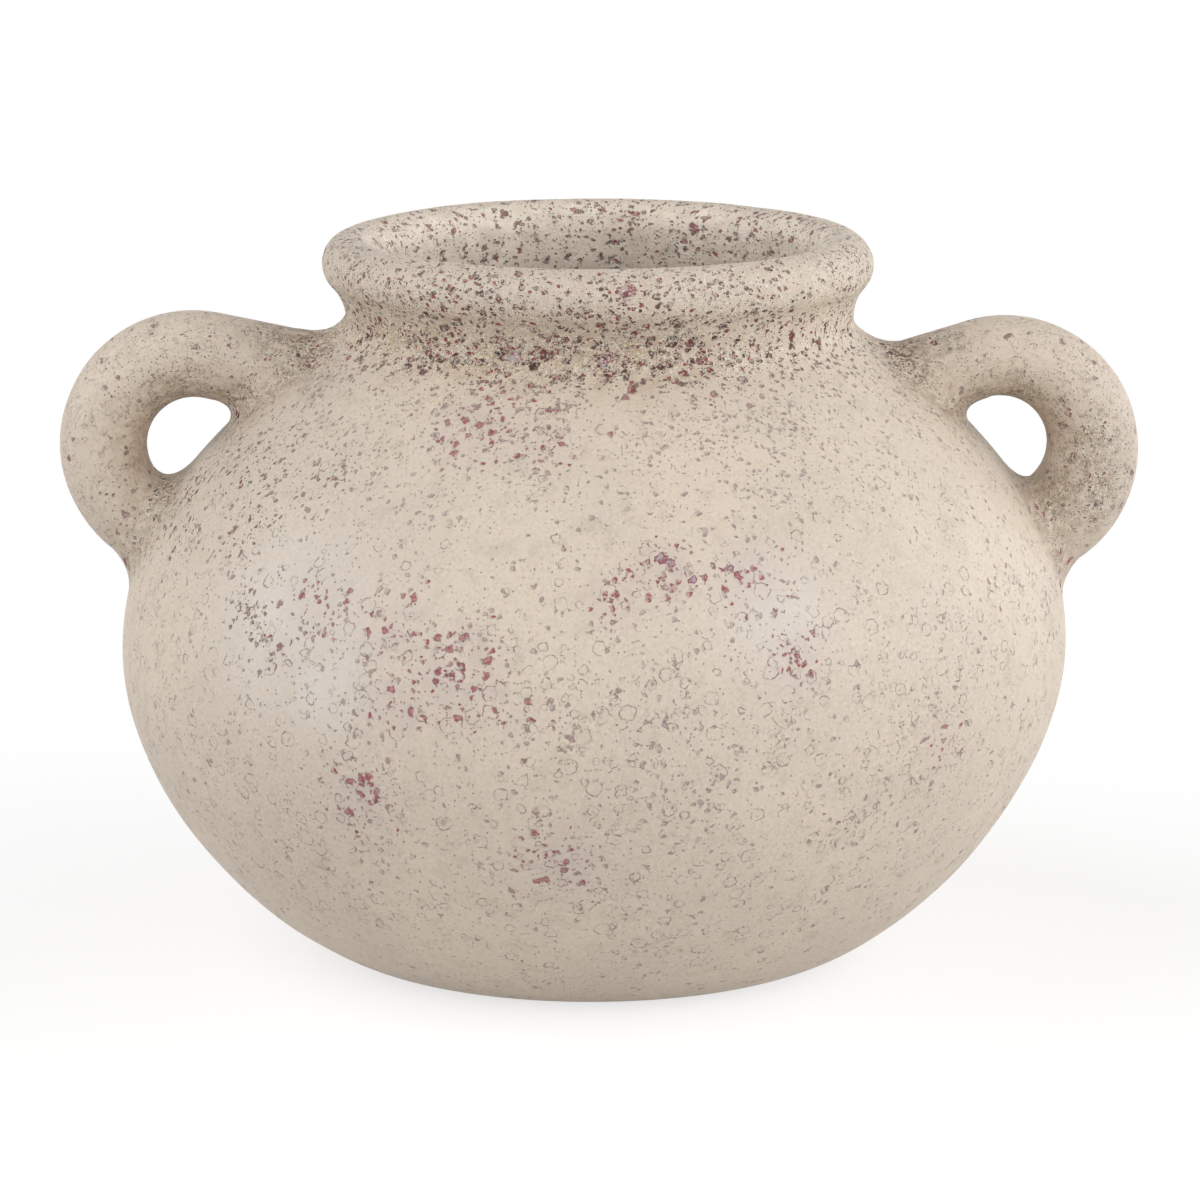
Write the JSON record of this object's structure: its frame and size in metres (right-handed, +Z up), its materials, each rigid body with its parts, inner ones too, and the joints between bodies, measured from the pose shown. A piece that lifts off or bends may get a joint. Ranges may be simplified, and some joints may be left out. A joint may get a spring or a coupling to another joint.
{
  "type": "two-handled vase",
  "caption": "Squat round-bellied clay vase with a rolled rim, a waisted neck and an ear handle on each side, in a pitted cream coat over red clay.",
  "frame": {"origin": "centre of the flat foot, on the surface the vase stands on", "axes": "+Z up along the axis of the pot, +X towards the right handle, -Y towards the viewer of the picture"},
  "size_m": [0.2617, 0.23, 0.1762],
  "materials": {
    "cream_coat": "matt",
    "bare_foot": "matt"
  },
  "bodies": {
    "root": {"base_slab": "bare_foot", "lower_bowl": "cream_coat", "upper_bowl": "cream_coat", "neck_collar": "cream_coat", "rim_roll": "cream_coat", "left_handle": "cream_coat", "right_handle": "cream_coat", "left_upper_luting_coil": "cream_coat", "left_lower_luting_coil": "cream_coat", "right_upper_luting_coil": "cream_coat", "right_lower_luting_coil": "cream_coat"}
  },
  "joints": []
}
